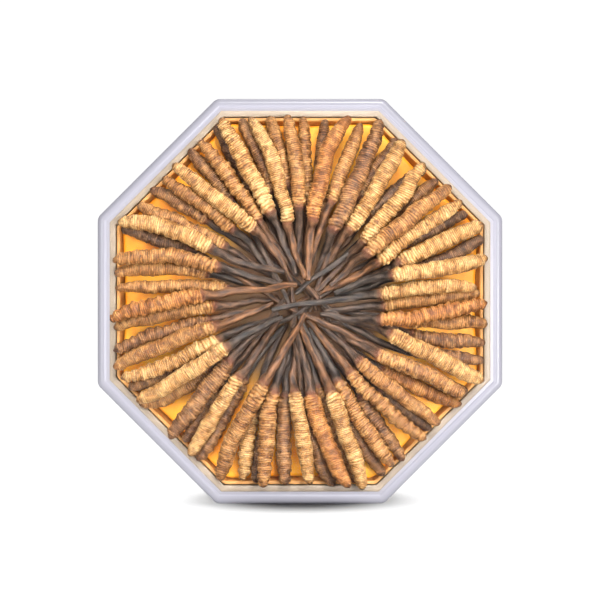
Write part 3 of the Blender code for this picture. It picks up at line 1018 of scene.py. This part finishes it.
@dataclass
class Specimen:
    """One dried larva with the stalk that grew from its head."""

    name: str
    line: Line
    habit: Habit
    seed: int
    warm: float
    columns: int = 26
    samples_a_ring: int = 6
    phase_samples: int = 400
    stalk_step: float = 0.5 * MM
    tail_dome: float = 0.9 * MM
    tail_taper: float = 6.0 * MM
    tail_stain: float = 0.8 * MM
    tip_dome: float = 0.35 * MM
    head_band: float = 0.8 * MM
    stalk_blend: float = 1.1 * MM
    stalk_bark: float = 0.14 * MM
    segment_pitch: float = 2.6 * MM
    foot_places: tuple[float, ...] = (0.38, 0.47, 0.56, 0.65)
    foot_lean: float = 0.5
    foot_size: float = 0.42 * MM
    foot_girth: float = 2.3 * MM
    wrinkle_pitch: float = 0.55 * MM

    def __post_init__(self) -> None:
        """Set the source of this specimen's chances and how far it has rolled over."""
        self.rng = np.random.default_rng(self.seed)
        self.roll = float(self.rng.uniform(-0.5, 0.5))
        self.relief = RELIEFS[self.habit]
        self.stops = self.line.lengths()
        self.body = float(self.stops[self.line.head_station])

    def noise(self, along: Array, around: Array, cell_mm: float, lobes: int) -> Array:
        """Return smooth noise from this specimen's own chances."""
        return soft_noise(self.rng, along, around, cell_mm * MM, lobes)

    def rows_along(self) -> tuple[Array, Array]:
        """Return the rows' lengths along the fungus and the ring phase at each row.

        On the body a row comes at every even share of a ring, so the rows follow the rings;
        the rings are finer at the tail and widen to plates towards the head. The phase is
        the running sum of length over ring pitch. On the stalk the rows are evenly spaced.

        Returns:
            The lengths and the phases, one for each row.
        """
        fine = np.linspace(0, self.body, self.phase_samples)
        share = fine / self.body
        widening = 0.86 + 0.12 * share + 0.5 * np.clip((share - 0.7) / 0.2, 0, 1) ** 1.5
        drift = 1 + 0.2 * self.noise(fine, np.zeros_like(fine), 1.9, 2)
        pitch = self.relief.ring_pitch * MM * widening * drift
        phase = np.concatenate(([0.0], np.cumsum(np.diff(fine) / pitch[1:])))
        steps = np.arange(0, phase[-1], 1 / self.samples_a_ring)
        body_rows = np.interp(steps, phase, fine)
        dome = np.array([0.02, 0.1, 0.3]) * self.tail_dome
        stalk_rows = np.arange(self.body, self.stops[-1] - self.tip_dome, self.stalk_step)
        end = self.stops[-1] - self.tip_dome * np.array([0.7, 0.4, 0.15, 0.02, 0.0])
        first = int(np.searchsorted(body_rows, dome[-1], side="right"))
        rows = np.concatenate(([0.0], dome, body_rows[first:], stalk_rows, end))
        body_count = 1 + len(dome) + len(steps) - first
        phases = np.interp(rows, fine, phase)
        phases[body_count:] = phase[-1]
        return rows, phases

    def girth(self, along: Array) -> Array:
        """Return the half-girth along the fungus: the solid's, with domed ends.

        A dome is a quarter circle: the root of one less the square of the share left. The
        girth slims towards the tail, and the head keeps a share of the fullest girth before
        it drops to the stalk, which its bark thickens. Slow noise varies all of it.

        Args:
            along: lengths from the tail.

        Returns:
            The half-girths, in metres.
        """
        radius = np.interp(along, self.stops, self.line.radii)
        fullest = self.line.radii.max()
        radius *= 0.78 + 0.22 * np.clip(along / self.tail_taper, 0, 1)
        head = np.interp(along / self.body, (0.0, 0.86, 0.97, 1.03, 1.1), (0, 0.96, 0.86, 0.56, 0))
        radius = np.maximum(radius, head * fullest)
        radius += self.stalk_bark * np.clip((along - self.body) / MM, 0, 1)
        tail = 1 - (1 - np.clip(along / self.tail_dome, 0, 1)) ** 2
        tip = 1 - (1 - np.clip((self.stops[-1] - along) / self.tip_dome, 0, 1)) ** 2
        slow = 1 + 0.06 * self.noise(along, np.zeros_like(along), 4.0, 2)
        return radius * np.sqrt(tail) * np.sqrt(tip) * slow

    def middle(self, along: Array) -> Array:
        """Return the middle line: the solid's, wandering more on the stalk.

        It wanders sideways by smooth noise, less than half a millimetre on the body and
        along the stalk, and not at the tail.

        Args:
            along: lengths from the tail.

        Returns:
            One point a row.
        """
        centre = self.line.at(along)
        still = np.zeros_like(along)
        sway = self.noise(along, still, 6.0, 2)
        wave = self.noise(along, still, 5.5, 2)
        stalk = np.clip((along - self.body) / (3 * MM), 0, 1)
        ends = np.clip(along / (3 * MM), 0, 1)
        amount = (0.42 * sway * (1 - stalk) + 0.45 * wave * stalk) * MM * ends
        tangent = np.gradient(centre, along + 1e-9 * np.arange(len(along)), axis=0)
        across = np.cross(tangent, (0.0, -1.0, 0.0))
        across /= np.linalg.norm(across, axis=1)[:, None]
        return centre + across * amount[:, None]

    def body_relief(self, along: Array, around: Array, phase: Array) -> tuple[Array, Array, Array]:
        """Return the body's height in metres, its crease-to-ridge share and its stains.

        A ring is a power of half a sine of the phase, so it has a round crest and a sharp
        crease. Its phase wavers round the body. Segments swell by a raised cosine, the
        sides carry teeth at every other ring, and feet are round bumps in pairs. Towards
        the head the rings deepen to a collar.

        Args:
            along: lengths from the tail, on a grid of rows and columns.
            around: angles round the body, on the same grid.
            phase: each row's ring phase, as a column.

        Returns:
            The height, the share from crease to ridge and the stain, on the same grid.
        """
        relief, share = self.relief, along / self.body
        # The waver is a share of a ring: a tilt of the whole ring, then broad and fine bends.
        waver = 0.3 * np.sin(around + self.seed)
        waver += 0.45 * self.noise(along, around, 1.7, 6)
        waver += 0.2 * self.noise(along, around, 0.9, 9)
        crest = np.abs(np.sin(math.pi * (phase + waver))) ** 0.6
        broken = 0.66 + 0.34 * self.noise(along, around, 1.0, 9)
        collar = np.clip((share - 0.72) / 0.16, 0, 1)
        height = -relief.ring_depth * MM * broken * (1 + 1.1 * collar) * (1 - crest)
        turns = along / self.segment_pitch + 0.1 * self.seed
        segment = 0.5 - 0.5 * np.cos(2 * math.pi * turns)
        height -= relief.segment_swell * MM * (1 - segment**0.7)
        side = np.clip(np.abs(np.cos(around - self.roll)) - 0.5, 0, 1) * 2
        height += 0.7 * relief.segment_swell * MM * side * (segment - 0.6)
        tooth = np.abs(np.sin(0.5 * math.pi * (phase + waver))) ** 1.2
        worn = 0.6 + 0.5 * self.noise(along, around, 2.4, 4)
        height += relief.side_teeth * MM * side * (tooth - 0.45) * worn * (1 + 0.8 * collar)
        dent = self.noise(along, around, 2.8, 5)
        lump = self.noise(along, around, 0.9, 12)
        height += 0.16 * MM * dent + (0.1 + 0.14 * collar) * MM * lump
        stain = 0.8 * np.exp(-((along / self.tail_stain) ** 2))
        for pair in self.foot_places if relief.feet else ():
            for lean in (-self.foot_lean, self.foot_lean):
                turn = np.angle(np.exp(1j * (around - math.pi / 2 - self.roll - lean)))
                apart = (along - pair * self.body) ** 2 + (turn * self.foot_girth) ** 2
                bump = np.exp(-apart / self.foot_size**2)
                height += relief.feet * MM * bump
                stain = np.maximum(stain, bump)
        # The ridge's share follows the crests and rises on the swells, the collar and lumps and falls
        # in dents: painted light on what stands out and painted shade in what sinks, over the skin's
        # own colour.
        ridge = 0.06 + 0.12 * collar + 0.78 * crest * (0.72 + 0.28 * segment)
        ridge = np.clip(ridge + 0.22 * dent + 0.16 * lump, 0, 1)
        return height, ridge, stain

    def stalk_relief(self, along: Array, around: Array) -> tuple[Array, Array]:
        """Return the stalk's height in metres and its share from dark to light.

        Four furrows wind along it: a sine of four times the angle plus a slow turn with the
        length and a noise. Knots are a second noise.

        Args:
            along: lengths from the tail, on a grid of rows and columns.
            around: angles round the stalk, on the same grid.

        Returns:
            The height and the share, on the same grid.
        """
        wander = 2.2 * self.noise(along, around, 3.0, 3)
        furrow = np.sin(4 * around + along / (4.5 * MM) + wander)
        knot = self.noise(along, around, 1.8, 4)
        height = 0.07 * MM * furrow + 0.13 * MM * knot
        return height, np.clip(0.42 + 0.24 * furrow + 0.34 * knot, 0, 1)

    def build(self, cuticle: bpy.types.Material, replaced: Sequence[str]) -> bpy.types.Object:
        """Build the fungus as one skin round its line.

        A point is the line's point plus the half-girth and relief along the direction that
        the angle gives between the sideways and the forward normal. The section is a
        little flat, and each end closes in a pole.

        Args:
            cuticle: the skin's finish.
            replaced: the node of the solid that it stands for, where there is one.

        Returns:
            The piece.
        """
        rows, phase = self.rows_along()
        angles = np.arange(self.columns) * 2 * math.pi / self.columns
        along, around = np.meshgrid(rows, angles, indexing="ij")
        skin_height, ridge, stain = self.body_relief(along, around, phase[:, None])
        stalk_height, fibre = self.stalk_relief(along, around)
        stalk = np.clip((along - self.body * 0.985) / self.stalk_blend, 0, 1)
        head = 0.9 * np.exp(-(((along - self.body * 0.995) / self.head_band) ** 2))
        radius = self.girth(rows)[:, None]
        taper = np.clip(radius / self.stalk_blend, 0, 1)
        height = (skin_height * (1 - stalk) + stalk_height * stalk) * taper
        centre = self.middle(rows)
        tangent = np.gradient(centre, axis=0)
        tangent /= np.linalg.norm(tangent, axis=1)[:, None]
        forward = np.array([0.0, -1.0, 0.0]) + tangent * tangent[:, 1:2]
        forward /= np.linalg.norm(forward, axis=1)[:, None]
        sideways = np.cross(tangent, forward)
        flat = 0.97 - 0.05 * stalk
        offset = (
            np.cos(around)[..., None] * sideways[:, None, :]
            + (np.sin(around) * flat)[..., None] * forward[:, None, :]
        )
        grid = centre[:, None, :] + (radius + height)[..., None] * offset
        inner = slice(1, -1)
        points = np.concatenate((centre[:1], grid[inner].reshape(-1, 3), centre[-1:]))
        quads, triangles = closed_grid_faces(len(rows) - 2, self.columns)
        piece = mesh_object(self.name, points, quads, triangles)
        # The wrinkles' space: rings across the body, drawn out along the stalk.
        turn = (1.6 * np.cos(around), 1.6 * np.sin(around) + 9.0 * self.seed)
        wrinkle = np.stack((along / self.wrinkle_pitch, *turn), axis=-1)
        lengthwise = wrinkle * (0.22, 2.2, 2.2)
        wrinkle = wrinkle * (1 - stalk[..., None]) + lengthwise * stalk[..., None]
        fields = {
            "relief": ridge * (1 - stalk) + fibre * stalk, "stalk": stalk, "head": head,
            "stain": stain * (1 - stalk), "warm": np.full_like(along, self.warm),
        }
        for label, values in fields.items():
            set_attribute(piece, label, values[inner].reshape(-1, 1))
        set_attribute(piece, "wrinkle", wrinkle[inner].reshape(-1, 3))
        return finish_piece(piece, cuticle, replaced)


@dataclass(frozen=True)
class Lay:
    """How a fungus of the lowest layer lies.

    Bearings and the bow are in degrees, clockwise from the top; reaches from the middle of
    the case and the girth are in millimetres.
    """

    tail_bearing: float
    tail_reach: float
    head_bearing: float
    head_reach: float
    bow: float
    girth: float
    tip_bearing: float
    tip_reach: float


@dataclass
class Heap:
    """All the fungi: those with a solid of their own, and the lowest layer."""

    centre_z: float
    bed_y: float
    finishes: dict[Tone, bpy.types.Material]

    # Numbers of the solids by the colour of the skin; the rest are tan. The two that lie lowest take
    # the darkest skin as painted shade.
    STRAW = (14, 17, 19, 20, 26, 28, 36, 37, 38, 41, 43, 44, 47, 48, 51, 55, 56)
    AMBER = (6, 35, 39, 52, 54)
    UMBER = (3, 4, 5, 8, 13, 16, 18, 27, 49)
    PAINTED_SHADE = (1, 2)
    # Numbers of the solids by how the larva dried; the rest are ringed.
    LUMPY = (8, 14, 16, 28, 33, 39, 40, 54)
    FOOTED = (5, 18, 22, 31)
    PLATED = (3, 12, 20, 23, 27, 32, 36, 42, 46, 49, 50, 53, 56)
    SLENDER = (25, 30)
    # Solids with a light brown stalk, and the share of brown in the others' grey, in turn.
    BROWN_STALKS = (15, 20, 35, 40, 41, 45, 48, 53, 54)
    GREYS = (0.15, 0.5, 0.0, 0.35, 0.1, 0.7, 0.25)

    # The lowest layer, clockwise from the top.
    HIDDEN_LAYER = (
        Lay(31.0, 57.5, 29.0, 36.0, 0.0, 4.4, 140.0, 4.5),
        Lay(48.5, 55.8, 47.0, 35.0, 0.0, 4.4, 325.0, 3.0),
        Lay(62.5, 57.3, 61.0, 36.0, 0.0, 4.5, 205.0, 6.0),
        Lay(107.5, 58.6, 114.0, 38.0, 0.0, 4.4, 30.0, 3.5),
        Lay(118.5, 58.0, 120.5, 38.0, 0.0, 4.4, 265.0, 5.5),
        Lay(134.5, 55.8, 137.5, 36.0, 0.0, 4.2, 60.0, 6.0),
        Lay(154.5, 58.8, 157.5, 37.0, 0.0, 4.5, 285.0, 3.0),
        Lay(169.5, 57.2, 176.5, 36.0, 0.5, 4.4, 330.0, 5.0),
        Lay(193.5, 56.8, 195.0, 36.0, 0.0, 4.4, 75.0, 3.5),
        Lay(219.5, 55.4, 222.5, 36.0, 0.0, 4.4, 345.0, 6.0),
        Lay(243.0, 58.4, 240.5, 37.0, 0.0, 4.5, 110.0, 4.0),
        Lay(292.0, 58.6, 294.0, 37.0, 0.5, 4.4, 180.0, 5.0),
        Lay(307.0, 56.9, 311.0, 37.0, 0.0, 4.4, 75.0, 6.0),
        Lay(324.0, 57.2, 325.5, 37.0, 0.0, 4.4, 225.0, 3.5),
        Lay(334.0, 59.0, 336.5, 37.0, 0.0, 4.4, 120.0, 6.0),
    )
    # Shares of the length and of the girth at the stations of a body and of a stalk.
    BODY_STATIONS = ((0.0, 0.45), (0.06, 0.84), (0.34, 1.0), (0.70, 1.0), (0.95, 0.92), (1.0, 0.58))
    STALK_STATIONS = ((0.10, 0.46), (0.55, 0.38), (1.0, 0.24))
    # How far ahead of the head the stalk's curve is led, as a share of the way to its tip.
    STALK_LEAD = 0.45
    LIFT_SHARES = (0.0, 0.7, 1.0)
    BED_GAP = 0.25 * MM
    PILE_STEP = 1.5 * MM
    PILE_LEVELS = 3
    HIDDEN_SEEDS = 100

    def hidden_line(self, lay: Lay, number: int) -> Line:
        """Return the line of a fungus of the lowest layer, which lies on the bed.

        The body's bearing drifts from tail to head with a bow of a half sine between, and
        the stalk is a parabola that leaves in line with the body. In the middle the tips
        lie on one another in a few levels.

        Args:
            lay: how it lies.
            number: its place in the layer, which sets its level.

        Returns:
            The line from tail to stalk tip.
        """
        body, stalk = np.array(self.BODY_STATIONS), np.array(self.STALK_STATIONS)

        def plan(share: Array) -> Array:
            """Return body points (x, z) at shares of its length."""
            turn = lay.tail_bearing + (lay.head_bearing - lay.tail_bearing) * share
            bearing = np.radians(turn + lay.bow * np.sin(math.pi * share))
            reach = (lay.tail_reach + (lay.head_reach - lay.tail_reach) * share) * MM
            return np.stack((np.sin(bearing) * reach, np.cos(bearing) * reach), axis=-1)

        head, before = plan(np.array([1.0, 0.95]))
        tip_bearing = math.radians(lay.tip_bearing)
        tip = np.array([math.sin(tip_bearing), math.cos(tip_bearing)]) * lay.tip_reach * MM
        onward = (head - before) / np.linalg.norm(head - before)
        lead = head + onward * np.linalg.norm(tip - head) * self.STALK_LEAD
        s = stalk[:, :1]
        far = (1 - s) ** 2 * head + 2 * s * (1 - s) * lead + s**2 * tip
        flat = np.concatenate((plan(body[:, 0]), far))
        radii = np.concatenate((body[:, 1], stalk[:, 1])) * lay.girth * MM / 2
        lift = np.where(np.arange(len(radii)) < len(body), radii.max(), radii) + self.BED_GAP
        level = (number % self.PILE_LEVELS + 0.8) * self.PILE_STEP
        lift[len(body):] += np.array(self.LIFT_SHARES) * level
        places = np.stack((flat[:, 0], self.bed_y - lift, flat[:, 1] + self.centre_z), axis=-1)
        return Line(places, radii)

    def tone(self, number: int) -> Tone:
        """Find the colour that a fungus dried to.

        Args:
            number: the number of its solid.

        Returns:
            The colour.
        """
        for tone, numbers in (
            (Tone.STRAW, self.STRAW), (Tone.AMBER, self.AMBER),
            (Tone.UMBER, self.UMBER), (Tone.PAINTED_SHADE, self.PAINTED_SHADE),
        ):
            if number in numbers:
                return tone
        return Tone.TAN

    def habit(self, number: int) -> Habit:
        """Find how a fungus dried.

        Args:
            number: the number of its solid.

        Returns:
            The habit.
        """
        for habit, numbers in (
            (Habit.LUMPY, self.LUMPY), (Habit.FOOTED, self.FOOTED),
            (Habit.PLATED, self.PLATED), (Habit.SLENDER, self.SLENDER),
        ):
            if number in numbers:
                return habit
        return Habit.RINGED

    def build(self) -> None:
        """Build every fungus: first those with a solid, then the lowest layer."""
        names = sorted(name for name in frame["nodes"] if name.startswith("cordyceps_"))
        for name in names:
            number = int(name.rsplit("_", 1)[1])
            warm = 1.0 if number in self.BROWN_STALKS else self.GREYS[number % len(self.GREYS)]
            specimen = Specimen(
                f"larva_{number:02d}", line_of_node(name), self.habit(number), number, warm
            )
            specimen.build(self.finishes[self.tone(number)], [name])
        for number, lay in enumerate(self.HIDDEN_LAYER, start=1):
            specimen = Specimen(
                f"low_larva_{number:02d}", self.hidden_line(lay, number), Habit.RINGED,
                self.HIDDEN_SEEDS + number, self.GREYS[number % len(self.GREYS)],
            )
            # The lowest layer takes the umber and the darkest skins as painted shade under the fungi
            # above.
            specimen.build(self.finishes[Tone.UMBER if number % 3 else Tone.PAINTED_SHADE], [])


# ------------------------------------------------------------------ the studio


@dataclass(frozen=True)
class Softbox:
    """A square soft lamp: its place and side in metres, its power in watts.

    A flagged lamp keeps its light off the floor.
    """

    name: str
    place: tuple[float, float, float]
    size: float
    watts: float
    flagged: bool


@dataclass
class Studio:
    """A white sweep, soft lamps and a camera straight in front of the lid."""

    centre_z: float
    front_y: float
    camera_distance: float = 0.5
    frame_width: float = 0.1774
    camera_lift: float = 0.35 * MM
    sensor_mm: float = 36.0
    room_light: float = 0.12

    LAMPS = (
        Softbox("key", (0.1, -0.58, 0.46), 0.2, 3.8, True),
        Softbox("fill", (-0.25, -0.64, 0.06), 0.2, 1.2, True),
        Softbox("kick", (0.16, -0.4, 0.03), 0.1, 1.15, True),
        Softbox("top", (0.0, 0.17, 1.0), 0.2, 1.5, False),
    )

    def __post_init__(self) -> None:
        """Start the list of pieces that the flagged lamps light."""
        self.off_the_floor = bpy.data.collections.new("off_the_floor")

    def build_floor(self) -> None:
        """Build the sweep: a floor that turns up into a wall by a quarter circle, drawn along X."""
        width, front, bend, radius, top = 2.4, -1.6, 0.9, 0.5, 1.8
        turn = np.linspace(0, math.pi / 2, 13)
        y = np.concatenate(([front], bend + radius * np.sin(turn), [bend + radius]))
        z = np.concatenate(([0.0], radius * (1 - np.cos(turn)), [top]))
        x = np.array([-width, width])
        points = np.stack((np.tile(x, len(y)), np.repeat(y, 2), np.repeat(z, 2)), axis=-1)
        start = np.arange(len(y) - 1) * 2
        quads = np.stack((start, start + 1, start + 3, start + 2), axis=-1)
        mesh = bpy.data.meshes.new("sweep")
        mesh.from_pydata(points.tolist(), [], quads.tolist())
        mesh.shade_smooth()
        floor = bpy.data.objects.new("sweep", mesh)
        bpy.context.scene.collection.objects.link(floor)
        floor.data.materials.append(StudioCard().build())

    def hang(self, softbox: Softbox) -> None:
        """Hang a lamp that looks at the middle of the case.

        Args:
            softbox: the lamp.
        """
        data = bpy.data.lights.new(softbox.name, "AREA")
        data.size = softbox.size
        data.energy = softbox.watts
        lamp = bpy.data.objects.new(softbox.name, data)
        lamp.location = softbox.place
        aim = Vector((0.0, 0.0, self.centre_z)) - Vector(softbox.place)
        lamp.rotation_euler = aim.to_track_quat("-Z", "Y").to_euler()
        bpy.context.scene.collection.objects.link(lamp)
        if softbox.flagged:
            lamp.light_linking.receiver_collection = self.off_the_floor

    def build_lights(self) -> None:
        """Hang the lamps and light the room evenly."""
        for softbox in self.LAMPS:
            self.hang(softbox)
        world = bpy.data.worlds.new("studio")
        world.use_nodes = True
        background = world.node_tree.nodes["Background"]
        background.inputs["Color"].default_value = (1.0, 1.0, 1.0, 1.0)
        background.inputs["Strength"].default_value = self.room_light
        bpy.context.scene.world = world

    def build_camera(self) -> None:
        """Put the camera straight in front; its lens spans the frame's width at the lid's front."""
        data = bpy.data.cameras.new("camera")
        data.sensor_width = self.sensor_mm
        data.lens = self.sensor_mm * self.camera_distance / self.frame_width
        data.clip_start = 0.01
        camera = bpy.data.objects.new("camera", data)
        place = (0.0, self.front_y - self.camera_distance, self.centre_z + self.camera_lift)
        camera.location = place
        camera.rotation_euler = (math.pi / 2, 0.0, 0.0)
        bpy.context.scene.collection.objects.link(camera)
        bpy.context.scene.camera = camera

    def light_pieces(self) -> None:
        """Let the flagged lamps light every mesh but the floor."""
        for piece in bpy.context.scene.objects:
            if piece.type == "MESH" and piece.name != "sweep":
                self.off_the_floor.objects.link(piece)

    def build(self) -> None:
        """Set up the camera, the floor and the lamps, and show colours as they are."""
        self.build_camera()
        self.build_floor()
        self.build_lights()
        bpy.context.scene.view_settings.view_transform = "Standard"


# The colours of each skin's creases, flanks, ridges and blotches, and the blotches' share. The dark
# creases and pale ridges are partly painted shade and painted light.
SKINS = (
    Cuticle(Tone.STRAW.value, "#3A200E", "#A4723A", "#CEAA72", "#80522B", 0.2),
    Cuticle(Tone.TAN.value, "#31190D", "#935F2D", "#BB8E56", "#694022", 0.35),
    Cuticle(Tone.AMBER.value, "#371A0A", "#935926", "#BD874A", "#6F3D1D", 0.35),
    Cuticle(Tone.UMBER.value, "#24130A", "#784C28", "#A97C4C", "#513522", 0.42),
    # The darkest skin is a shaded copy of the others: painted shade.
    Cuticle(Tone.PAINTED_SHADE.value, "#1E110A", "#5D3D28", "#8C6742", "#432E20", 0.45),
)


def main() -> None:
    """Build the studio, the case, the bed and the fungi in turn."""
    logging.basicConfig(level=logging.INFO, format="%(name)s: %(message)s")
    low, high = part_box("case_lid")
    centre_z = (low[2] + high[2]) / 2
    bed_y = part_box("cloth_tray")[0][1]
    studio = Studio(centre_z, low[1])
    studio.build()
    octagon = Octagon(centre_z)
    ClearCase(octagon).build(
        MouldedPolystyrene("clear_polystyrene", glare="#505050").build(),
        MouldedPolystyrene(
            "satin_polystyrene", roughness=0.3, density=16.0, body="#B4B2BE", clarity=0.3
        ).build(),
        MouldedPolystyrene("milky_polystyrene", roughness=0.4, body="#A9957C", clarity=0.3).build(),
    )
    SatinBed(octagon).build(
        # The tray's cloth is a darker, browner tan than the cushion's.
        SatinCloth("tan_satin", "#CF9450", "#BC8444").build(),
        # The cushion's cloth darkens towards the middle: painted shade.
        SatinCloth("painted_shade_satin", middle_shade_share=0.9, centre_z=centre_z).build(),
    )
    finishes = {Tone(skin.name): skin.build() for skin in SKINS}
    Heap(centre_z, bed_y, finishes).build()
    studio.light_pieces()


if __name__ == "__main__":
    main()
